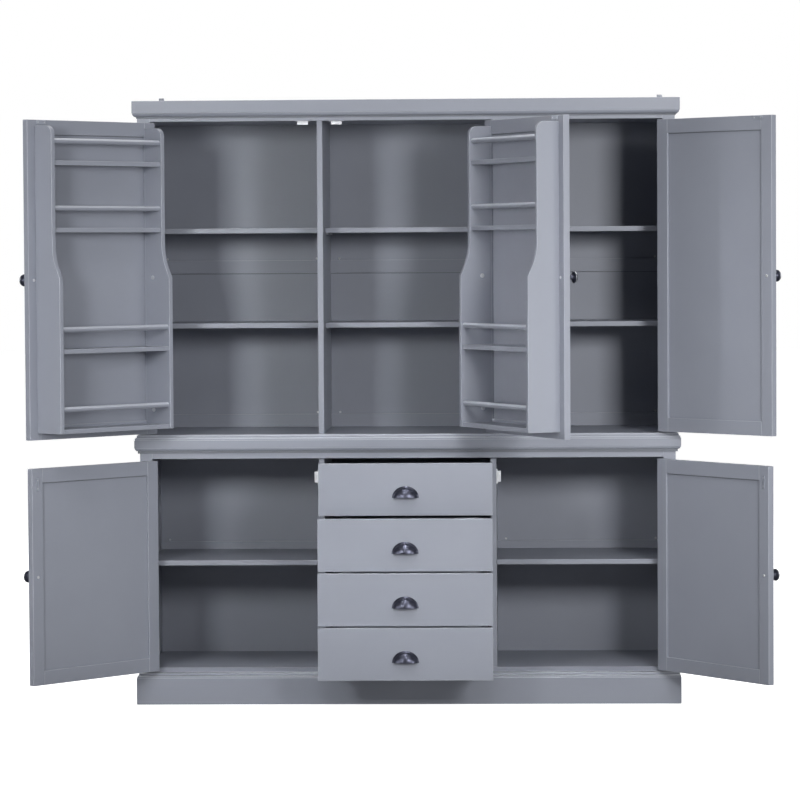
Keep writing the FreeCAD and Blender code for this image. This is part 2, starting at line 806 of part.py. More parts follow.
def rack(door):
    """A spice rack on the inside of a door: two shaped sides, four shelves and four rails."""
    face = INNER_FACE
    low_depth = f"({face} + rack_depth_low)"
    high_depth = f"({face} + rack_depth_high)"
    near = f"({HINGE_EDGE} + rack_inset)"
    far = f"({free_edge(door)} - rack_inset)"
    bottom = f"({door.bottom} + rack_bottom_gap)"
    top = f"({door.top} - rack_top_gap)"
    slope_top = f"({top} - rack_slope_drop)"
    profile = [
        (face, bottom),
        (low_depth, bottom),
        (low_depth, f"{slope_top} - rack_slope_height"),
        (high_depth, slope_top, "rack_bend"),
        (high_depth, f"{top} - rack_corner", "upright"),
        (f"{high_depth} - rack_corner", top),
        (face, top),
    ]
    pieces = []
    for name, along in (("hinge", (near, f"{near} + rack_side")), ("free", (f"{far} - rack_side", far))):
        side = padded(f"{door.name}_rack_{name}_side", profile, "rack_side")
        pieces.append(place(side, across(door, *along)[0]))
    inside = (f"{near} + rack_side", f"{far} - rack_side")
    rails = []
    for name, level, depth in (
        ("bottom", bottom, low_depth),
        ("second", f"({bottom} + rack_second_shelf_rise)", low_depth),
        ("third", f"({top} - rack_third_shelf_drop)", high_depth),
        ("top", f"({top} - rack_top_shelf_drop)", high_depth),
    ):
        pieces.append(door_board(
            door, f"rack_{name}_shelf", inside,
            (face, f"{depth} - rack_shelf_setback"), (level, f"{level} + rack_shelf_thickness"),
        ))
        rails.append(rod(
            f"{door.name}_{name}_rail", "rack_rail_radius", span(*inside), across(door, *inside)[0],
            f"{depth} - rack_rail_setback - rack_rail_radius", f"{level} + rack_rail_rise", ACROSS,
        ))
    door_node(door, "rack_case", *pieces)
    door_node(door, "rack_rails", *rails)


# Drawers. Each is drawn shut and then pulled out along -Y.
Drawer = namedtuple("Drawer", "name index pull_out")
DRAWERS = [
    Drawer("top_drawer", 0, "top_pull_out"),
    Drawer("second_drawer", 1, "second_pull_out"),
    Drawer("third_drawer", 2, "third_pull_out"),
    Drawer("bottom_drawer", 3, "bottom_pull_out"),
]
FRONT_HEIGHT = f"(({DOOR_HIGH} - {DOOR_LOW} - {len(DRAWERS) - 1} * drawer_gap) / {len(DRAWERS)})"
BOX_HALF = f"({DIVIDER_INNER} - runner_space)"
BOX_FRONT = f"({FRONT} + drawer_front_thickness)"
BOX_BACK = f"({BOX_FRONT} + drawer_box_depth)"


def drawer_node(drawer, name, *pieces):
    group = node(f"{drawer.name}_{name}", *pieces)
    return place(group, y=f"-{drawer.pull_out}")


def front_top(drawer):
    return f"({DOOR_HIGH} - {drawer.index} * ({FRONT_HEIGHT} + drawer_gap))"


def box_floor(drawer):
    return f"({front_top(drawer)} - {FRONT_HEIGHT} + drawer_box_rise)"


def runner_level(drawer):
    return f"({box_floor(drawer)} + drawer_box_height / 2)"


def drawer_front(drawer):
    top = front_top(drawer)
    half = "(divider_offset - meeting_gap / 2)"
    height = (f"{top} - {FRONT_HEIGHT}", top)
    slab = board(f"{drawer.name}_slab", (f"-{half}", half), (FRONT, BOX_FRONT), height)
    drawer_node(drawer, "front", slab)


def drawer_box(drawer):
    """An open box, its floor in grooves, with the slide of its runner on each side."""
    low = box_floor(drawer)
    height = (low, f"{low} + drawer_box_height")
    inner_half = f"({BOX_HALF} - drawer_side)"
    inner = (f"-{inner_half}", inner_half)
    front_face = f"({BOX_FRONT} + drawer_side)"
    back_face = f"({BOX_BACK} - drawer_side)"
    under = f"({low} + drawer_floor_rise)"
    mark = drawer.name
    floor = board(
        f"{mark}_floor",
        (f"-{inner_half} - drawer_groove", f"{inner_half} + drawer_groove"),
        (f"{front_face} - drawer_groove", f"{back_face} + drawer_groove"),
        (under, f"{under} + drawer_floor"),
    )
    side, front, back = [
        cut(f"{mark}_{name}_grooved", board(f"{mark}_{name}", along, depth, height), floor)
        for name, along, depth in (
            ("side", (f"-{BOX_HALF}", inner[0]), (BOX_FRONT, BOX_BACK)),
            ("inner_front", inner, (BOX_FRONT, front_face)),
            ("back", inner, (back_face, BOX_BACK)),
        )
    ]
    slide = board(
        f"{mark}_slide",
        (f"-{DIVIDER_INNER} + channel_web + slide_clearance", f"-{BOX_HALF}"),
        (BOX_FRONT, BOX_BACK),
        about(runner_level(drawer), "slide_height"),
    )
    right_side = mirrored(f"{mark}_side_right", side)
    right_slide = mirrored(f"{mark}_slide_right", slide)
    drawer_node(drawer, "box", side, right_side, front, back, floor, slide, right_slide)


def drawer_channels():
    """Steel channels on the dividers, which the drawers' slides run in."""
    channels = []
    for drawer in DRAWERS:
        level = runner_level(drawer)
        depth = (UPRIGHT_FRONT, f"{RAIL_FRONT} - shelf_clearance")
        face = f"-{DIVIDER_INNER}"
        mouth = f"{face} + channel_thickness"
        mark = f"{drawer.name}_channel"
        blank = board(mark + "_blank", (face, mouth), depth, about(level, "channel_height"))
        groove_height = about(level, "(slide_height + 2 * slide_clearance)")
        groove = board(mark + "_groove", (f"{face} + channel_web", mouth), depth, groove_height)
        channel = cut(mark, blank, groove)
        channels += [channel, mirrored(mark + "_right", channel)]
    node("drawer_channels", *channels)


def quarter_dome(name, width, height, reach, z):
    """A quarter of an egg shape that stands on the drawer's face and is flat below."""
    dome = doc.addObject("Part::Ellipsoid", name)
    bind(dome, Radius1=height, Radius2=f"({width}) / 2", Radius3=reach)
    dome.Angle1 = 0
    dome.Angle2 = 90
    dome.Angle3 = 180
    return place(dome, "0", FRONT, z, FreeCAD.Rotation(UPRIGHT_AXIS, 180))


def cup_pull(drawer):
    """A hollow cup pull with a flat rim, open below for the fingers."""
    foot = f"({front_top(drawer)} - {FRONT_HEIGHT} / 2 - pull_drop - pull_height / 2)"
    cup_width = "(pull_width - 2 * pull_rim)"
    cup_height = "(pull_height - pull_rim)"
    mark = f"{drawer.name}_pull"
    cup = quarter_dome(mark + "_cup", cup_width, cup_height, "pull_reach", foot)
    rim = common(
        mark + "_rim",
        quarter_dome(mark + "_rim_dome", "pull_width", "pull_height", "pull_reach", foot),
        board(
            mark + "_rim_slab", about("0", "pull_width"),
            (f"{FRONT} - pull_rim_thickness", FRONT), (foot, f"{foot} + pull_height"),
        ),
    )
    hollow = quarter_dome(
        mark + "_hollow", f"{cup_width} - 2 * pull_wall",
        f"{cup_height} - pull_wall", "pull_reach - pull_wall", foot,
    )
    drawer_node(drawer, "pull", cut(mark + "_shell", fuse(mark + "_blank", cup, rim), hollow))


plinth()
base_carcass()
waist_moulding()
hutch_carcass()
cornice()
back_rails()
shelves()
catches()
wall_brackets()
for cabinet_door in DOORS:
    door_leaf(cabinet_door)
    knob(cabinet_door)
    if cabinet_door.name in RACKED:
        rack(cabinet_door)
hinges()
for cabinet_drawer in DRAWERS:
    drawer_front(cabinet_drawer)
    drawer_box(cabinet_drawer)
    cup_pull(cabinet_drawer)
drawer_channels()
doc.recompute()

failed = [piece.Name for piece in doc.Objects if {"Invalid", "Error"} & set(piece.State)]
if failed:
    raise RuntimeError("These pieces did not build: " + ", ".join(failed))
for sub_part in nodes:
    if sub_part.Shape.isNull() or not sub_part.Shape.isValid() or not sub_part.Shape.Solids:
        raise RuntimeError("This sub-part has no sound solid: " + sub_part.Label)

os.makedirs("parts", exist_ok=True)
for sub_part in nodes:
    sub_part.Shape.exportStep(f"parts/{sub_part.Label}.step")
print(len(nodes), "sub-parts written")
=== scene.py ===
import json
import math
from collections import namedtuple

import bmesh
import bpy
from mathutils import Matrix, Vector

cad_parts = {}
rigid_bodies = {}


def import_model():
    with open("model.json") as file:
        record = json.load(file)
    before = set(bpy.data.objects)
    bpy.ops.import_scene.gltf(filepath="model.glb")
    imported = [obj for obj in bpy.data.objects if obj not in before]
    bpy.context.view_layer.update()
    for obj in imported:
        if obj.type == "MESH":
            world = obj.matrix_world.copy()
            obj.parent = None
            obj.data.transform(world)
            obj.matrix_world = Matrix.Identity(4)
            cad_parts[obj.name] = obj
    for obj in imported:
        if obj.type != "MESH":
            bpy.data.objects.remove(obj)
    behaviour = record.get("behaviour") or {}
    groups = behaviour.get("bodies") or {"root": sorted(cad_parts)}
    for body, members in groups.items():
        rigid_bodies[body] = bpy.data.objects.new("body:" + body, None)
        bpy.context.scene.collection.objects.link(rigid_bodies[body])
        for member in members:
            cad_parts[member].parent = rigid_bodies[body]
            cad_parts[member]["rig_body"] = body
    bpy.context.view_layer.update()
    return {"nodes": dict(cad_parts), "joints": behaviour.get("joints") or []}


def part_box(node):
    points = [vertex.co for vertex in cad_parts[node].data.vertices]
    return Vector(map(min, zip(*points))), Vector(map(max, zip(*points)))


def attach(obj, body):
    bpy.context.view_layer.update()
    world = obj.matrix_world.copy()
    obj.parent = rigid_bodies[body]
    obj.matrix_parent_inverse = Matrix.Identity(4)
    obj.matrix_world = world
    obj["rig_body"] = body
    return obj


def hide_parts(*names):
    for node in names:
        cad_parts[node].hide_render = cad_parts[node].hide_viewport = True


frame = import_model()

# A painted pantry cabinet with its doors and drawers open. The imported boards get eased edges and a
# sprayed finish, and the small fittings that hold them together are modelled here. Metres, +Z up.

SCENE = bpy.context.scene
MM = 0.001
UP = Vector((0, 0, 1))
BACK = Vector((0, 1, 0))

# The photograph's camera, in metres, degrees and pixels
CAMERA_PLACE = (0.3691, -11.9968, 1.482)
CAMERA_YAW = -1.91
CAMERA_DIP = 2.39
CAMERA_ROLL = -0.36
FOCAL_PIXELS = 3615.8
IMAGE_PIXELS = 800
SENSOR_MM = 36.0
FARTHEST_SEEN = 200

# The floor's reach in metres and its drop under the plinth in millimetres, and the surround's light
FLOOR_REACH = 40
FLOOR_DROP = 0.5
SURROUND_LIGHT = 0.112

# Corners closer than this are one corner, in metres; faces flatter than this are one face
SAME_CORNER = 1e-6
SAME_FACE = math.radians(0.4)
# Edges sharper than the first are eased; those sharper than the second stay creases in the shading
SHARP = math.radians(28)
CREASE = math.radians(50)

# How far an eased arris is painted paler, a painted highlight on lacquer and rubbed wear on pewter,
# and the least and most upward tilt of a face on a crest that gets a painted highlight, as the
# height of its normal
ARRIS_HIGHLIGHT_AND_WEAR = 0.65
CREST_TILT = (0.25, 0.96)

# How far arrises are eased, in millimetres
DOOR_FRAME_EASE = 1.0
PANEL_EASE = 0.3
RACK_EASE = 1.0
RACK_RAIL_EASE = 0.5
DRAWER_FRONT_EASE = 1.5
DRAWER_BOX_EASE = 0.8
SLIDE_EASE = 0.4
PULL_EASE = 0.5
SHEET_EASE = 0.25
PIN_EASE = 0.4
CATCH_EASE = 0.8

# Doors, in millimetres; faces and the hinge edge are measured from the pin
DOOR_OUTER_FACE = 4.5
DOOR_INNER_FACE = 25.5
DOOR_HINGE_EDGE = 1.5
DOOR_STILE = 45
# Width of the strips of painted shade beside a door panel's frame and under the back rail
SHADE_STRIP_WIDTH = 3
KNOB_INSET = 22.5
HINGE_SCREW_SPACING = 22
HINGE_SCREW_SETBACK = 14.3
HINGE_PLATE_FACE = 0.3

# Strike plates, in millimetres
STRIKE_LENGTH = 40
STRIKE_WIDTH = 12
STRIKE_THICKNESS = 1.5
STRIKE_CORNER = 2.5
STRIKE_SCREW_SPACING = 26
UPPER_STRIKE_INSET = 58
UPPER_STRIKE_DROP = 7.5
LOWER_STRIKE_INSET = 23
LOWER_STRIKE_DROP = 50

# Racks and the cam discs in their sides, in millimetres
RACK_SIDE_INSET = 31
RACK_SIDE_THICKNESS = 15
RACK_FOOT_GAP = 22
RACK_HEAD_GAP = 19
RACK_LOW_DEPTH = 110
RACK_HIGH_DEPTH = 77
RACK_SLOPE_FOOT = 486
RACK_SLOPE_RISE = 65
RACK_BEND = 36
RACK_CORNER = 28
CAM_RADIUS = 7.5
CAM_SETBACK = 33
CAM_HEIGHTS = (968, 1395)

# Screws and pins, in millimetres
SCREW_RADIUS = 4
KNOB_SCREW_RADIUS = 5
STRAP_SCREW_RADIUS = 4.5
STRAP_SCREW_RISE = 12
SMALL_SCREW_RADIUS = 2.6
FLUSH = 0.15
RAIL_SCREW_INSET = 29
RAIL_SCREW_RISE = 6
DRAWER_SCREW_INSET = 40
DRAWER_SCREW_MARGIN = 28
PULL_SCREW_OFFSET = 16
PANEL_PIN_RADIUS = 2
PANEL_PIN_HEIGHT = 0.6
PANEL_PIN_INSET = 9
PANEL_PIN_SPACING = 150

# Catches and the poles in their faces, in millimetres
CATCH_EAR = 4
CATCH_EAR_OFFSET = 20.75
POLE_LENGTH = 28
POLE_WIDTH = 3
POLE_THICKNESS = 1.2
POLE_CORNER = 0.6
POLE_SPACING = 7

# How many sides round things have
HEAD_SIDES = 12
PIN_SIDES = 10
KNOB_SIDES = 36

# A knob's turned profile, as radius and reach in millimetres, and the radius where its rim begins
KNOB_PROFILE = (
    (0, 0), (11, 0), (11, 1.6), (10.3, 2.5), (9.0, 3.1), (7.6, 5.2), (7, 8), (7, 12.5), (7.6, 15.6),
    (9.4, 18.8), (12.8, 21.6), (16.6, 23.7), (18.4, 24.7), (19, 25.9), (19, 27.2), (18.3, 28.2),
    (17.1, 28.5), (16.5, 28.1), (15.9, 28.5), (15.2, 29.8), (13.8, 31.9), (11.6, 34.2), (8.8, 36.2),
    (5.6, 37.4), (2.8, 37.9), (0, 38),
)
KNOB_RIM = 18


# Finishes

def colour(code):
    """An sRGB hex value as linear red, green, blue and alpha."""
    shares = [int(code[start:start + 2], 16) / 255 for start in (1, 3, 5)]
    linear = [
        share / 12.92 if share <= 0.04045 else ((share + 0.055) / 1.055) ** 2.4 for share in shares
    ]
    return linear + [1.0]


def per_metre(size):
    """The texture scale whose pattern has features of a size in millimetres."""
    return 1 / (size * MM)


def add(tree, kind, settings, links):
    """Add a node with its settings and the sockets linked to its inputs. Gives its outputs."""
    node = tree.nodes.new("ShaderNode" + kind)
    sockets = {}
    for name, setting in settings.items():
        if hasattr(node, name):
            setattr(node, name, setting)
        else:
            sockets[name] = setting
    for socket in node.inputs:
        if socket.identifier in sockets:
            socket.default_value = sockets.pop(socket.identifier)
        if socket.identifier in links:
            tree.links.new(links[socket.identifier], socket)
    if sockets:
        raise KeyError(f"{kind} has no {sorted(sockets)}")
    return {socket.identifier: socket for socket in node.outputs}


def new_finish(name):
    """A new material and its empty node tree."""
    finish = bpy.data.materials.new(name)
    finish.use_nodes = True
    finish.node_tree.nodes.clear()
    return finish, finish.node_tree


def blend(tree, factor, low, high):
    """A tone between a low one, which is a hex value or another blend, and a high hex value."""
    settings, links = {"data_type": "RGBA", "B_Color": colour(high)}, {"Factor_Float": factor}
    if isinstance(low, str):
        settings["A_Color"] = colour(low)
    else:
        links["A_Color"] = low
    return add(tree, "Mix", settings, links)["Result_Color"]


def surface(tree, settings, tone, sheen, relief):
    """Bring a tone, a sheen and a relief together as a finish."""
    look = add(
        tree, "BsdfPrincipled", settings,
        {"Base Color": tone, "Roughness": sheen["Result"], "Normal": relief["Normal"]},
    )
    add(tree, "OutputMaterial", {}, {"Surface": look["BSDF"]})


def satin_lacquer():
    """Fibreboard sprayed with satin lacquer: an even slate grey with a soft broad sheen.

    The gun leaves a faint orange peel and slight clouds of tone. Arrises and crests are painted
    paler as a painted highlight, and the lands of the mouldings, the strips beside the panels'
    frames and the strip under the back rail are painted darker as painted shade.
    """
    finish, tree = new_finish("satin_lacquer_on_fibreboard")
    place = add(tree, "TexCoord", {}, {})["Object"]
    arris = add(tree, "Attribute", {"attribute_name": "arris"}, {})["Fac"]
    painted_shade = add(tree, "Attribute", {"attribute_name": "painted_shade"}, {})["Fac"]
    cloud = add(
        tree, "TexNoise", {"Scale": per_metre(160), "Detail": 3.0, "Roughness": 0.55},
        {"Vector": place},
    )
    tone = blend(tree, cloud["Fac"], "#888C97", "#8F939E")
    # Painted highlight: arrises and upward-facing crests are painted paler
    highlighted_tone = blend(tree, arris, tone, "#B2B6C0")
    # Painted shade: moulding lands and the strips beside panel frames and under the back rail are
    # painted darker
    shaded_tone = blend(tree, painted_shade, highlighted_tone, "#6C7078")
    # Orange peel is about 2 mm across; 4 mm is the least that shows
    peel = add(tree, "TexNoise", {"Scale": per_metre(4), "Detail": 2.0}, {"Vector": place})
    relief = add(tree, "Bump", {"Strength": 0.12, "Distance": 0.2 * MM}, {"Height": peel["Fac"]})
    sheen = add(tree, "MapRange", {"To Min": 0.40, "To Max": 0.50}, {"Value": cloud["Fac"]})
    surface(tree, {"IOR": 1.48, "Specular IOR Level": 0.45}, shaded_tone, sheen, relief)
    return finish


def darkened_pewter():
    """Cast zinc plated and darkened to pewter: clouds of dark tone, rubbed paler on the edges."""
    finish, tree = new_finish("darkened_pewter_on_cast_zinc")
    place = add(tree, "TexCoord", {}, {})["Object"]
    arris = add(tree, "Attribute", {"attribute_name": "arris"}, {})["Fac"]
    patina = add(
        tree, "TexNoise", {"Scale": per_metre(9), "Detail": 4.0, "Roughness": 0.6},
        {"Vector": place},
    )
    dark = blend(tree, patina["Fac"], "#3F414E", "#5A5C6A")
    rubbed = blend(tree, arris, dark, "#8D8F94")
    sheen = add(tree, "MapRange", {"To Min": 0.26, "To Max": 0.42}, {"Value": patina["Fac"]})
    # Casting leaves a grain of about 0.8 mm under the plate
    grain = add(tree, "TexNoise", {"Scale": per_metre(0.8), "Detail": 1.0}, {"Vector": place})
    relief = add(tree, "Bump", {"Strength": 0.15, "Distance": 0.1 * MM}, {"Height": grain["Fac"]})
    surface(tree, {"Metallic": 0.92}, rubbed, sheen, relief)
    return finish


def plated_steel(name, dark, pale):
    """Rolled steel under a rough zinc plate: fine rolling streaks and clouds between two tones."""
    finish, tree = new_finish(name)
    place = add(tree, "TexCoord", {}, {})["Object"]
    # Rolling streaks are 0.5 mm wide and 30 mm long, and run up the sheet
    width, length = per_metre(0.5), per_metre(30)
    drawn = add(tree, "Mapping", {"Scale": (width, width, length)}, {"Vector": place})
    streak = add(tree, "TexNoise", {"Scale": 1.0, "Detail": 2.0}, {"Vector": drawn["Vector"]})
    spangle = add(tree, "TexNoise", {"Scale": per_metre(12), "Detail": 2.0}, {"Vector": place})
    tone = blend(tree, spangle["Fac"], dark, pale)
    sheen = add(tree, "MapRange", {"To Min": 0.46, "To Max": 0.62}, {"Value": streak["Fac"]})
    relief = add(tree, "Bump", {"Strength": 0.08, "Distance": 0.05 * MM}, {"Height": streak["Fac"]})
    surface(tree, {"Metallic": 1.0}, tone, sheen, relief)
    return finish


def moulded_nylon():
    """White nylon from a spark-eroded mould: matt and cool, with a fine even grain."""
    finish, tree = new_finish("moulded_white_nylon")
    place = add(tree, "TexCoord", {}, {})["Object"]
    flow = add(tree, "TexNoise", {"Scale": per_metre(15), "Detail": 1.0}, {"Vector": place})
    tone = blend(tree, flow["Fac"], "#D9DBE0", "#E6E8EC")
    grain = add(tree, "TexNoise", {"Scale": per_metre(0.6), "Detail": 1.0}, {"Vector": place})
    relief = add(tree, "Bump", {"Strength": 0.15, "Distance": 0.05 * MM}, {"Height": grain["Fac"]})
    sheen = add(tree, "MapRange", {"To Min": 0.42, "To Max": 0.55}, {"Value": flow["Fac"]})
    surface(tree, {"IOR": 1.53}, tone, sheen, relief)
    return finish


def studio_floor():
    """Matt white vinyl under studio lamps."""
    finish, tree = new_finish("matt_white_vinyl")
    vinyl = add(
        tree, "BsdfPrincipled",
        {
            "Base Color": colour("#C8C8C8"), "Roughness": 0.8,
            "Emission Color": colour("#FFFFFF"), "Emission Strength": 0.95,
        },
        {},
    )
    add(tree, "OutputMaterial", {}, {"Surface": vinyl["BSDF"]})
    return finish


LACQUER = satin_lacquer()
PEWTER = darkened_pewter()
# Fittings are plated bright and strikes satin; the wall straps are dipped and have dulled
STEEL = plated_steel("bright_zinc_plated_steel", "#D6D8DC", "#E9EAEC")
SATIN_STEEL = plated_steel("satin_zinc_plated_steel", "#B4B9C5", "#C2C7D2")
DULL_STEEL = plated_steel("dulled_galvanised_steel", "#7B7E86", "#90939A")
NYLON = moulded_nylon()


# Making pieces

def piece(name, work, body, finish, stands_for=(), flat_faces=True):
    """A finished piece that moves with a body, from a bmesh that is used up."""
    mesh = bpy.data.meshes.new(name)
    work.to_mesh(mesh)
    work.free()
    mesh.materials.append(finish)
    mesh.shade_smooth()
    mesh.set_sharp_from_angle(angle=CREASE)
    made = bpy.data.objects.new(name, mesh)
    SCENE.collection.objects.link(made)
    if flat_faces:
        made.modifiers.new("flat_faces", "WEIGHTED_NORMAL").keep_sharp = True
    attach(made, body)
    if stands_for:
        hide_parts(*stands_for)


def body_of(node):
    """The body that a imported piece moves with."""
    return frame["nodes"][node]["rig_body"]


def boards_in(work):
    """The corners of each closed board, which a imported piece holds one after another."""
    boards, corners, unpaired = [], {}, set()
    for face in work.faces:
        ring = [tuple(round(number, 6) for number in corner.co) for corner in face.verts]
        for start, stop in zip(ring, ring[1:] + ring[:1]):
            if start != stop:
                unpaired ^= {frozenset((start, stop))}
        corners.update(dict.fromkeys(face.verts))
        if not unpaired:
            boards.append(list(corners))
            corners = {}
    return boards


def boxes_in(node):
    """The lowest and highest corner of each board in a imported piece, in metres."""
    work = bmesh.new()
    work.from_mesh(frame["nodes"][node].data)
    boxes = []
    for corners in boards_in(work):
        spans = list(zip(*(corner.co for corner in corners)))
        boxes.append([Vector(map(pick, spans)) for pick in (min, max)])
    work.free()
    return boxes


def film(work, name):
    """The layer of a bmesh that says which faces are painted paler (a painted highlight on lacquer,
    rubbed wear on pewter) or darker (painted shade).
    """
    layers = work.faces.layers.float
    return layers.get(name) or layers.new(name)


def ease(work, edges, reach):
    """Round off edges by a reach in millimetres and mark the new faces as arrises."""
    arris = film(work, "arris")
    rounded = bmesh.ops.bevel(
        work, geom=edges, offset=reach * MM, offset_type="OFFSET", segments=2, profile=0.5,
        affect="EDGES", clamp_overlap=True, material=-1,
    )
    # The new faces are painted paler: a painted highlight on lacquer, rubbed wear on pewter
    for face in rounded["faces"]:
        face[arris] = ARRIS_HIGHLIGHT_AND_WEAR
    bmesh.ops.dissolve_degenerate(work, dist=SAME_CORNER, edges=work.edges)


def sharp_edges(work, shortest):
    """The sharp edges of a bmesh that are longer than a length in millimetres."""
    folds = [edge for edge in work.edges if edge.is_manifold and edge.calc_face_angle() > SHARP]
    return [edge for edge in folds if edge.calc_length() > shortest * MM]


def eased(node, reach, shortest=10, keep=slice(None)):
    """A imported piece, its kept boards made whole and their longer edges eased, in millimetres."""
    work = bmesh.new()
    work.from_mesh(frame["nodes"][node].data)
    boards = boards_in(work)
    kept = range(len(boards))[keep]
    for number, corners in enumerate(boards):
        if number not in kept:
            bmesh.ops.delete(work, geom=corners, context="VERTS")
    for corners in boards[keep]:
        bmesh.ops.remove_doubles(work, verts=corners, dist=SAME_CORNER)
    bmesh.ops.dissolve_limit(work, angle_limit=SAME_FACE, verts=work.verts, edges=work.edges)
    ease(work, sharp_edges(work, shortest), reach)
    return work


def crest_highlights_and_land_shade(work, land):
    """Mark a moulding's upward-facing crests for a painted highlight, and its land between two
    heights in millimetres for painted shade.
    """
    arris = film(work, "arris")
    painted_shade = film(work, "painted_shade")
    for face in work.faces:
        if CREST_TILT[0] < face.normal.z < CREST_TILT[1]:
            face[arris] = 1.0
        elif land[0] < face.calc_center_median().z / MM < land[1]:
            face[painted_shade] = 1.0


def paint_shade_strip(work, start, stop, way):
    """Mark a board's strip between two points along a way for painted shade, the shade that falls
    beside a frame or rail.
    """
    painted_shade = film(work, "painted_shade")
    for spot in (start, stop):
        whole = [*work.verts, *work.edges, *work.faces]
        bmesh.ops.bisect_plane(work, geom=whole, dist=SAME_CORNER, plane_co=spot, plane_no=way)
    for face in work.faces:
        middle = face.calc_center_median()
        if (middle - start).dot(way) > 0 > (middle - stop).dot(way):
            face[painted_shade] = 1.0


# The boards, by how far their arrises are eased in millimetres
EASED_BOARDS = {
    "plinth_moulding": 0.8, "plinth_bearers": 0.5, "base_sides": 0.8, "base_dividers": 0.8,
    "base_bottom": 0.5, "base_top": 0.5, "base_back": 0.3, "base_face_frame": 0.5,
    "waist_moulding": 0.7, "hutch_sides": 0.8, "hutch_dividers": 0.8, "hutch_top": 0.5,
    "hutch_back_panels": 0.3, "hutch_face_frame": 0.5, "cornice": 0.8, "back_rails": 0.8,
    "hutch_shelves": 1.2, "base_shelves": 1.2,
}
DOORS = {joint["child"]: joint for joint in frame["joints"] if joint["type"] == "hinge"}
DRAWERS = {joint["child"]: joint for joint in frame["joints"] if joint["type"] == "slide"}
RACKED = [door for door in DOORS if f"{door}_rack_case" in frame["nodes"]]
DOOR_LOW, DOOR_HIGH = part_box(f"{RACKED[0]}_frame")
DOOR_HEIGHT = (DOOR_HIGH - DOOR_LOW).z / MM
for door in DOORS:
    EASED_BOARDS[f"{door}_frame"] = DOOR_FRAME_EASE
for door in RACKED:
    EASED_BOARDS[f"{door}_rack_rails"] = RACK_RAIL_EASE
for drawer in DRAWERS:
    EASED_BOARDS[f"{drawer}_front"] = DRAWER_FRONT_EASE

# The mouldings and rails whose crests get a painted highlight, by the heights in millimetres of the
# land under their rounds, which gets painted shade
NO_LAND = (0, 0)
CRESTED = {"plinth_moulding": NO_LAND, "waist_moulding": (821, 829), "cornice": (1910, 1915)}
for door in RACKED:
    CRESTED[f"{door}_rack_rails"] = NO_LAND

for node, reach in EASED_BOARDS.items():
    board = eased(node, reach)
    if node in CRESTED:
        crest_highlights_and_land_shade(board, CRESTED[node])
    # A strip of painted shadow on the back boards under the highest back rail's foot
    if node == "hutch_back_panels":
        rail_foot = UP * max(low.z for low, high in boxes_in("back_rails"))
        paint_shade_strip(board, rail_foot - UP * SHADE_STRIP_WIDTH * MM, rail_foot, UP)
    piece(f"{node}.lacquered", board, body_of(node), LACQUER, [node])

# A rack's case is two sides, which are shaped further on, then four shelves
RACK_SHELVES = slice(2, None)
for door in RACKED:
    case = f"{door}_rack_case"
    piece(f"{case}.lacquered", eased(case, RACK_EASE, keep=RACK_SHELVES), door, LACQUER, [case])

# A drawer's box is five boards, then the two steel slides of its runners
BOX_BOARDS = slice(0, 5)
BOX_SLIDES = slice(5, None)
INNER_FRONT = 2
for drawer in DRAWERS:
    box = f"{drawer}_box"
    piece(f"{box}.lacquered", eased(box, DRAWER_BOX_EASE, keep=BOX_BOARDS), drawer, LACQUER, [box])
    piece(f"{drawer}_slides", eased(box, SLIDE_EASE, keep=BOX_SLIDES), drawer, STEEL)
    pull = f"{drawer}_pull"
    work = eased(pull, PULL_EASE, shortest=0)
    piece(f"{pull}.cast", work, drawer, PEWTER, [pull], flat_faces=False)

# Fittings pressed from sheet steel, by their plating
SHEETS = {"hinge_fixed_leaves": STEEL, "drawer_channels": STEEL, "wall_brackets": DULL_STEEL}
for door in DOORS:
    SHEETS[f"{door}_hinge_leaves"] = STEEL
for node, finish in SHEETS.items():
    piece(f"{node}.plated", eased(node, SHEET_EASE, shortest=1), body_of(node), finish, [node])
for node in ("hinge_pins", "shelf_pins"):
    work = eased(node, PIN_EASE, shortest=0)
    piece(f"{node}.plated", work, body_of(node), STEEL, [node], flat_faces=False)
CATCHES = "magnetic_catches"
piece(f"{CATCHES}.moulded", eased(CATCHES, CATCH_EASE), "cabinet", NYLON, [CATCHES])


# Small fittings: each is made once, facing +Z with its back at the origin, and then set down

def template(work):
    """A bmesh kept as a mesh that can be set down many times."""
    mesh = bpy.data.meshes.new("fitting")
    bmesh.ops.recalc_face_normals(work, faces=work.faces)
    work.to_mesh(mesh)
    work.free()
    return mesh


def set_down(work, fitting, place, facing, long_way=None, size=(1, 1, 1)):
    """Add a fitting to a bmesh, its back at a place in metres and its front facing a way."""
    facing = Vector(facing)
    long_way = Vector(long_way) if long_way else facing.orthogonal().normalized()
    turn = Matrix((long_way, facing.cross(long_way), facing)).transposed().to_4x4()
    stretch = Matrix.Diagonal([side * MM for side in size] + [1])
    work.verts.ensure_lookup_table()
    held = len(work.verts)
    work.from_mesh(fitting)
    work.verts.ensure_lookup_table()
    settle = Matrix.Translation(place) @ turn @ stretch
    bmesh.ops.transform(work, matrix=settle, verts=work.verts[held:])


def of_kind(parts, kind):
    """The corners, edges or faces among the parts of a bmesh."""
    return [part for part in parts if isinstance(part, kind)]


def raise_faces(work, height):
    """Thicken the flat faces of a bmesh upwards. Gives the new corners, edges and faces."""
    raised = bmesh.ops.extrude_face_region(work, geom=work.faces[:], use_keep_orig=True)["geom"]
    bmesh.ops.translate(work, verts=of_kind(raised, bmesh.types.BMVert), vec=(0, 0, height))
    return raised


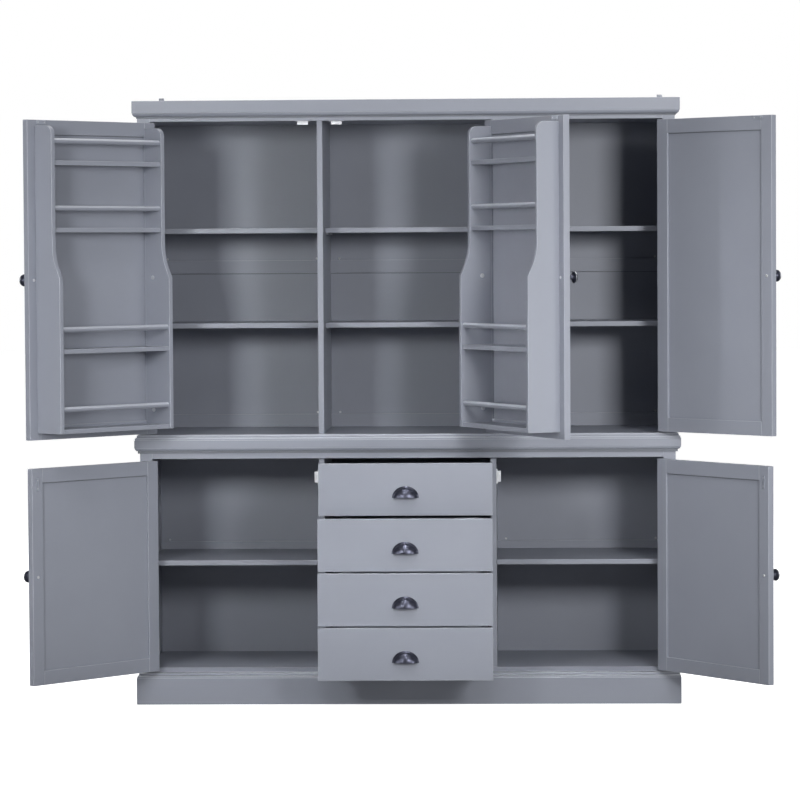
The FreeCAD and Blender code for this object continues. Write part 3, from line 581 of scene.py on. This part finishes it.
def cross_head(crown, crown_height, cross, depth):
    """A round screw head of radius 1 with a cross recess. All sizes are shares of the radius."""
    work = bmesh.new()
    bmesh.ops.create_circle(work, segments=HEAD_SIDES, radius=1, cap_ends=True)
    top = bmesh.ops.create_circle(work, segments=HEAD_SIDES, radius=crown)["verts"]
    bmesh.ops.translate(work, verts=top, vec=(0, 0, crown_height))
    bmesh.ops.bridge_loops(work, edges=work.edges[:])
    mouth = [edge for edge in work.edges if edge.is_boundary]
    slot = bmesh.ops.create_grid(work, x_segments=3, y_segments=3, size=cross)["verts"]
    bmesh.ops.translate(work, verts=slot, vec=(0, 0, crown_height))
    cells = list(dict.fromkeys(face for corner in slot for face in corner.link_faces))
    arms = [cell for cell in cells if min(map(abs, cell.calc_center_median().xy)) < cross / 2]
    bmesh.ops.delete(work, geom=[cell for cell in cells if cell not in arms], context="FACES")
    sides = dict.fromkeys(edge for arm in arms for edge in arm.edges)
    bmesh.ops.bridge_loops(work, edges=mouth + [edge for edge in sides if edge.is_boundary])
    sunk = bmesh.ops.extrude_face_region(work, geom=arms)["geom"]
    bmesh.ops.delete(work, geom=arms, context="FACES")
    bmesh.ops.translate(work, verts=of_kind(sunk, bmesh.types.BMVert), vec=(0, 0, -depth))
    return work


def plate(length, width, thickness, corner):
    """A flat plate with round corners and an eased front, in millimetres."""
    work = bmesh.new()
    bmesh.ops.create_grid(work, x_segments=1, y_segments=1, size=0.5)
    bmesh.ops.scale(work, verts=work.verts, vec=(length, width, 1))
    bmesh.ops.bevel(
        work, geom=work.verts[:], offset=corner, offset_type="OFFSET", segments=4, profile=0.5,
        affect="VERTICES", material=-1,
    )
    front = of_kind(raise_faces(work, thickness), bmesh.types.BMVert)
    brink = [edge for edge in work.edges if all(end in front for end in edge.verts)]
    bmesh.ops.bevel(
        work, geom=brink, offset=thickness / 4, offset_type="OFFSET", segments=2, profile=0.5,
        affect="EDGES", material=-1,
    )
    return work


def pin_head(crown, shoulder):
    """A pin's head of radius and height 1: straight to a shoulder, then drawn in to a crown."""
    work = bmesh.new()
    bmesh.ops.create_circle(work, segments=PIN_SIDES, radius=1, cap_ends=True)
    top = of_kind(raise_faces(work, shoulder), bmesh.types.BMFace)
    bmesh.ops.inset_individual(work, faces=top, thickness=1 - crown, depth=1 - shoulder)
    return work


def rack_side():
    """A rack's side: deep below, drawn back over a slope, round at the top. X is deep, Y is up."""
    work = bmesh.new()
    height = DOOR_HEIGHT - RACK_FOOT_GAP - RACK_HEAD_GAP
    slope_top = RACK_SLOPE_FOOT + RACK_SLOPE_RISE
    outline = (
        (0, 0), (RACK_LOW_DEPTH, 0), (RACK_LOW_DEPTH, RACK_SLOPE_FOOT),
        (RACK_HIGH_DEPTH, slope_top), (RACK_HIGH_DEPTH, height), (0, height),
    )
    corners = [work.verts.new((depth, up, -RACK_SIDE_THICKNESS / 2)) for depth, up in outline]
    bmesh.ops.contextual_create(work, geom=corners)
    bend, top = corners[3:5]
    for corner, reach in ((bend, RACK_BEND), (top, RACK_CORNER)):
        bmesh.ops.bevel(
            work, geom=[corner], offset=reach, offset_type="OFFSET", segments=8, profile=0.5,
            affect="VERTICES", material=-1,
        )
    raise_faces(work, RACK_SIDE_THICKNESS)
    return work


def turned_knob():
    """A knob spun from its profile, rubbed bright on its rim."""
    work = bmesh.new()
    corners = [work.verts.new((radius, 0, reach)) for radius, reach in KNOB_PROFILE]
    sides = [work.edges.new(pair) for pair in zip(corners, corners[1:])]
    bmesh.ops.spin(
        work, geom=corners + sides, cent=(0, 0, 0), axis=UP, angle=math.tau, steps=KNOB_SIDES,
        use_merge=True,
    )
    bmesh.ops.remove_doubles(work, verts=work.verts, dist=SAME_CORNER / MM)
    arris = film(work, "arris")
    for face in work.faces:
        face[arris] = float(face.calc_center_median().xy.length > KNOB_RIM)
    return work


SCREW = template(cross_head(crown=0.75, crown_height=0.35, cross=0.5, depth=0.25))
CAM = template(cross_head(crown=0.9, crown_height=0.1, cross=0.5, depth=0.11))
PANEL_PIN = template(pin_head(crown=0.6, shoulder=0.5))
STRIKE = template(plate(STRIKE_LENGTH, STRIKE_WIDTH, STRIKE_THICKNESS, STRIKE_CORNER))
POLE = template(plate(POLE_LENGTH, POLE_WIDTH, POLE_THICKNESS, POLE_CORNER))
KNOB = template(turned_knob())
RACK_SIDE = template(rack_side())

# A door as it stands: its pin, its hand (1 where it hangs on its left side), the ways towards its
# free edge and inwards, and in millimetres how far out its free edge and how high its ends are
Leaf = namedtuple("Leaf", "pin hand along inward free low high")


def leaf_of(door):
    """How a door stands at rest, from its joint and its frame."""
    joint = DOORS[door]
    pin = Vector(joint["pos_m"])
    hand = -joint["axis"][2]
    open_angle = math.radians(-joint["range_deg"][0])
    along = Vector((hand * math.cos(open_angle), -math.sin(open_angle), 0))
    inward = Vector((hand * math.sin(open_angle), math.cos(open_angle), 0))
    corners = frame["nodes"][f"{door}_frame"].data.vertices
    free = max((corner.co - pin).dot(along) for corner in corners)
    low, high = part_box(f"{door}_frame")
    return Leaf(pin, hand, along, inward, free / MM, low.z / MM, high.z / MM)


def on_leaf(leaf, from_pin, behind, height):
    """A point on a door, by millimetres from its pin, behind its pin and above the floor."""
    place = leaf.pin + leaf.along * from_pin * MM + leaf.inward * behind * MM
    return Vector((place.x, place.y, height * MM))


def round_screw(work, place, facing, radius):
    """A screw whose round head stands proud, by its radius in millimetres."""
    set_down(work, SCREW, place, facing, size=[radius] * 3)


def flush_screw(work, place, facing):
    """A small countersunk screw, level with its face but for a hair."""
    set_down(work, SCREW, place, facing, size=(SMALL_SCREW_RADIUS, SMALL_SCREW_RADIUS, FLUSH))


def strike(door, leaf, screws):
    """The steel plate on a door that its catch pulls on. Its two screws join the door's others."""
    if door.startswith("upper"):
        from_edge, drop, long_way = UPPER_STRIKE_INSET, UPPER_STRIKE_DROP, leaf.along
    else:
        from_edge, drop, long_way = LOWER_STRIKE_INSET, LOWER_STRIKE_DROP, UP
    place = on_leaf(leaf, leaf.free - from_edge, DOOR_INNER_FACE, leaf.high - drop)
    work = bmesh.new()
    set_down(work, STRIKE, place, leaf.inward, long_way)
    piece(f"{door}_strike", work, door, SATIN_STEEL)
    face = place + leaf.inward * STRIKE_THICKNESS * MM
    for side in (-1, 1):
        flush_screw(screws, face + long_way * side * STRIKE_SCREW_SPACING / 2 * MM, leaf.inward)


def door_panel(door):
    """A door's flat panel, with a strip of painted shade along its top and free side, where the
    frame shades it.
    """
    leaf = leaf_of(door)
    work = eased(f"{door}_panel", PANEL_EASE)
    edge = DOOR_STILE + SHADE_STRIP_WIDTH
    start = on_leaf(leaf, leaf.free - edge, DOOR_INNER_FACE, leaf.high - edge)
    stop = on_leaf(leaf, leaf.free, DOOR_INNER_FACE, leaf.high)
    for way in (leaf.along, UP):
        paint_shade_strip(work, start, stop, way)
    piece(f"{door}_panel.lacquered", work, door, LACQUER, [f"{door}_panel"])


def door_fittings(door):
    """The knob and its screw, the strike, the hinge screws, and the cam discs in a rack's sides."""
    leaf = leaf_of(door)
    middle = (leaf.low + leaf.high) / 2
    knob_axis = leaf.free - KNOB_INSET
    knob = bmesh.new()
    set_down(knob, KNOB, on_leaf(leaf, knob_axis, DOOR_OUTER_FACE, middle), -leaf.inward)
    piece(f"{door}_knob.cast", knob, door, PEWTER, [f"{door}_knob"], flat_faces=False)
    work = bmesh.new()
    strike(door, leaf, work)
    spot = on_leaf(leaf, knob_axis, DOOR_INNER_FACE, middle)
    round_screw(work, spot, leaf.inward, KNOB_SCREW_RADIUS)
    if door in RACKED:
        rack_sides(door, leaf)
        inner = RACK_SIDE_INSET + RACK_SIDE_THICKNESS
        for height in CAM_HEIGHTS:
            for from_pin, way in ((DOOR_HINGE_EDGE + inner, 1), (leaf.free - inner, -1)):
                spot = on_leaf(leaf, from_pin, DOOR_INNER_FACE + CAM_SETBACK, height)
                set_down(work, CAM, spot, leaf.along * way, size=[CAM_RADIUS] * 3)
    for height in hinge_screw_heights(door):
        spot = on_leaf(leaf, HINGE_PLATE_FACE, HINGE_SCREW_SETBACK, height)
        flush_screw(work, spot, -leaf.along)
    piece(f"{door}_fittings", work, door, STEEL)


def rack_sides(door, leaf):
    """The two shaped sides of the rack on a door."""
    work = bmesh.new()
    middle = RACK_SIDE_INSET + RACK_SIDE_THICKNESS / 2
    for from_pin in (DOOR_HINGE_EDGE + middle, leaf.free - middle):
        foot = on_leaf(leaf, from_pin, DOOR_INNER_FACE, leaf.low + RACK_FOOT_GAP)
        set_down(work, RACK_SIDE, foot, leaf.inward.cross(UP), leaf.inward)
    ease(work, sharp_edges(work, RACK_EASE), RACK_EASE)
    piece(f"{door}_rack_sides", work, door, LACQUER)


def hinge_screw_heights(door):
    """The heights of three screws in each of a door's hinge leaves, in millimetres."""
    middles = [(low.z + high.z) / 2 / MM for low, high in boxes_in(f"{door}_hinge_leaves")]
    return [middle + step * HINGE_SCREW_SPACING for middle in middles for step in (-1, 0, 1)]


def cabinet_fittings():
    """Screws in the fixed hinge leaves, back rails and wall straps, and pins in the back."""
    work = bmesh.new()
    for door in DOORS:
        leaf = leaf_of(door)
        across = leaf.pin.x - leaf.hand * HINGE_PLATE_FACE * MM
        for height in hinge_screw_heights(door):
            spot = (across, leaf.pin.y + HINGE_SCREW_SETBACK * MM, height * MM)
            flush_screw(work, spot, (leaf.hand, 0, 0))
    for low, high in boxes_in("back_rails"):
        for across in (low.x + RAIL_SCREW_INSET * MM, high.x - RAIL_SCREW_INSET * MM):
            spot = (across, high.y, high.z + RAIL_SCREW_RISE * MM)
            round_screw(work, spot, -BACK, SCREW_RADIUS)
    for low, high in boxes_in("wall_brackets"):
        spot = ((low.x + high.x) / 2, high.y, low.z + STRAP_SCREW_RISE * MM)
        round_screw(work, spot, BACK, STRAP_SCREW_RADIUS)
    pin_size = (PANEL_PIN_RADIUS, PANEL_PIN_RADIUS, PANEL_PIN_HEIGHT)
    for low, high in boxes_in("hutch_back_panels") + boxes_in("base_back"):
        for across, height in pinned_edge(low, high):
            set_down(work, PANEL_PIN, (across, high.y, height), BACK, size=pin_size)
    piece("cabinet_screws", work, "cabinet", STEEL)


def pinned_edge(low, high):
    """Places for pins round the edge of a back board, as distances across and up in metres."""
    inset = PANEL_PIN_INSET * MM
    left, right, foot, top = low.x + inset, high.x - inset, low.z + inset, high.z - inset
    columns = round((right - left) / (PANEL_PIN_SPACING * MM))
    rows = round((top - foot) / (PANEL_PIN_SPACING * MM))
    across = [left + (right - left) * step / columns for step in range(columns + 1)]
    up = [foot + (top - foot) * step / rows for step in range(1, rows)]
    rails = [(x, z) for x in across for z in (foot, top)]
    stiles = [(x, z) for z in up for x in (left, right)]
    return rails + stiles


def catch_fittings():
    """The two steel poles in the face of each catch, and the screws through its ears."""
    work = bmesh.new()
    for low, high in boxes_in(CATCHES):
        middle = (low + high) / 2
        hangs = high.x - low.x > high.z - low.z
        long_way = Vector((1, 0, 0)) if hangs else UP
        off_wall = -UP if hangs else Vector((math.copysign(1, middle.x), 0, 0))
        for side in (-1, 1):
            pole = Vector((middle.x, low.y, middle.z)) + off_wall * side * POLE_SPACING / 2 * MM
            set_down(work, POLE, pole, -BACK, long_way)
            ear = middle + long_way * side * CATCH_EAR_OFFSET * MM
            if hangs:
                ear.z = high.z - CATCH_EAR * MM
            else:
                ear.x = min(low.x, high.x, key=abs) + off_wall.x * CATCH_EAR * MM
            round_screw(work, ear, off_wall, SMALL_SCREW_RADIUS)
    piece("catch_poles", work, "cabinet", STEEL)


def drawer_fittings(drawer):
    """Screws inside a drawer that hold its front and its pull."""
    work = bmesh.new()
    low, high = boxes_in(f"{drawer}_box")[INNER_FRONT]
    pull_low, pull_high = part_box(f"{drawer}_pull")
    inset, margin = DRAWER_SCREW_INSET * MM, DRAWER_SCREW_MARGIN * MM
    spots = [
        (x, z) for x in (low.x + inset, high.x - inset) for z in (low.z + margin, high.z - margin)
    ]
    spots += [(side * PULL_SCREW_OFFSET * MM, (pull_low.z + pull_high.z) / 2) for side in (-1, 1)]
    for x, z in spots:
        round_screw(work, (x, high.y, z), BACK, SCREW_RADIUS)
    piece(f"{drawer}_screws", work, drawer, STEEL)


for door in DOORS:
    door_panel(door)
    door_fittings(door)
for drawer in DRAWERS:
    drawer_fittings(drawer)
cabinet_fittings()
catch_fittings()


# The room: a pale floor, soft lamps all round and above, and a white surround

def floor():
    """A wide floor just under the plinth."""
    work = bmesh.new()
    bmesh.ops.create_grid(work, x_segments=1, y_segments=1, size=FLOOR_REACH)
    bmesh.ops.translate(work, verts=work.verts, vec=(0, 0, -FLOOR_DROP * MM))
    mesh = bpy.data.meshes.new("floor")
    work.to_mesh(mesh)
    work.free()
    mesh.materials.append(studio_floor())
    ground = bpy.data.objects.new("floor", mesh)
    SCENE.collection.objects.link(ground)
    # Only the camera sees the floor, so that no light comes up from it into the open bays
    ground.visible_diffuse = False
    ground.visible_glossy = False


def lamp(name, place, aim, width, height, watts, spread):
    """A soft box that faces a point and throws its light within a spread."""
    light = bpy.data.lights.new(name, "AREA")
    light.shape = "RECTANGLE"
    light.size = width
    light.size_y = height
    light.energy = watts
    light.spread = math.radians(spread)
    holder = bpy.data.objects.new(name, light)
    holder.location = place
    holder.visible_camera = False
    holder.rotation_euler = (Vector(aim) - Vector(place)).to_track_quat("-Z", "Y").to_euler()
    SCENE.collection.objects.link(holder)


def surround():
    """A white surround that the camera sees, and a dim one that lights the cabinet."""
    world = bpy.data.worlds.new("surround")
    world.use_nodes = True
    tree = world.node_tree
    tree.nodes.clear()
    seen = add(tree, "LightPath", {}, {})["Is Camera Ray"]
    strength = add(tree, "MapRange", {"To Min": SURROUND_LIGHT, "To Max": 1.0}, {"Value": seen})
    white = add(tree, "Background", {"Color": colour("#FFFFFF")}, {"Strength": strength["Result"]})
    add(tree, "OutputWorld", {}, {"Surface": white["Background"]})
    SCENE.world = world


def camera():
    """The camera that took the photograph."""
    yaw, dip, roll = (math.radians(angle) for angle in (CAMERA_YAW, CAMERA_DIP, CAMERA_ROLL))
    ahead = Vector((math.sin(yaw) * math.cos(dip), math.cos(yaw) * math.cos(dip), -math.sin(dip)))
    level = Vector((math.cos(yaw), -math.sin(yaw), 0))
    above = level.cross(ahead)
    right = level * math.cos(roll) + above * math.sin(roll)
    up = above * math.cos(roll) - level * math.sin(roll)
    lens = bpy.data.cameras.new("photograph")
    lens.sensor_width = SENSOR_MM
    lens.lens = SENSOR_MM * FOCAL_PIXELS / IMAGE_PIXELS
    lens.clip_end = FARTHEST_SEEN
    eye = bpy.data.objects.new("photograph", lens)
    turn = Matrix((right, up, -ahead)).transposed().to_4x4()
    eye.matrix_world = Matrix.Translation(CAMERA_PLACE) @ turn
    SCENE.collection.objects.link(eye)
    SCENE.camera = eye


# Each lamp's name, place, aim, width and height in metres, power in watts and spread in degrees
LAMPS = (
    ("left_lamp", (-2.13, -5.2, 2.06), (-1.05, 0, 1.25), 0.85, 0.85, 11.6, 54),
    ("right_lamp", (2.1, -5.2, 2.06), (1.05, 0, 1.25), 0.85, 0.85, 14.9, 54),
    ("cross_lamp", (3.6, -6.5, 2.6), (-0.9, -0.4, 1.2), 1.4, 1.4, 6.5, 60),
    ("top_lamp", (0, -4.2, 4.6), (0, -0.4, 0.2), 5.0, 1.6, 6.2, 44),
    ("overhead_lamp", (0, -2.2, 5.5), (0, -0.6, 1.0), 5.0, 2.0, 28, 180),
    ("floor_card", (0, -2.3, 0.01), (0, -2.3, 1), 5.0, 3.0, 22, 180),
    ("left_card", (-12, -9, 1.2), (0, -0.3, 1.0), 6.0, 4.0, 387, 180),
    ("right_card", (12, -9, 1.2), (0, -0.3, 1.0), 6.0, 4.0, 474, 180),
    ("rack_lamp", (-5.0, -4.0, 1.5), (0.36, -0.45, 1.35), 0.6, 0.6, 0.51, 12),
    ("pull_lamp", (0, -1.1, 4.4), (0, -0.56, 0.6), 1.4, 0.25, 0.5, 14),
    ("plinth_lamp", (0, -3.0, 4.0), (0, -0.3, 0.08), 4.0, 0.4, 0.85, 8),
    ("back_left_lamp", (-4.5, 5.5, 3.0), (0, 0.2, 1.0), 3.0, 3.0, 230, 180),
    ("back_right_lamp", (4.5, 5.5, 3.0), (0, 0.2, 1.0), 3.0, 3.0, 190, 180),
    ("roof_lamp", (0, 2.2, 5.5), (0, 0.1, 1.9), 4.0, 1.5, 120, 180),
)

floor()
surround()
for row in LAMPS:
    lamp(*row)
camera()
SCENE.view_settings.view_transform = "Standard"
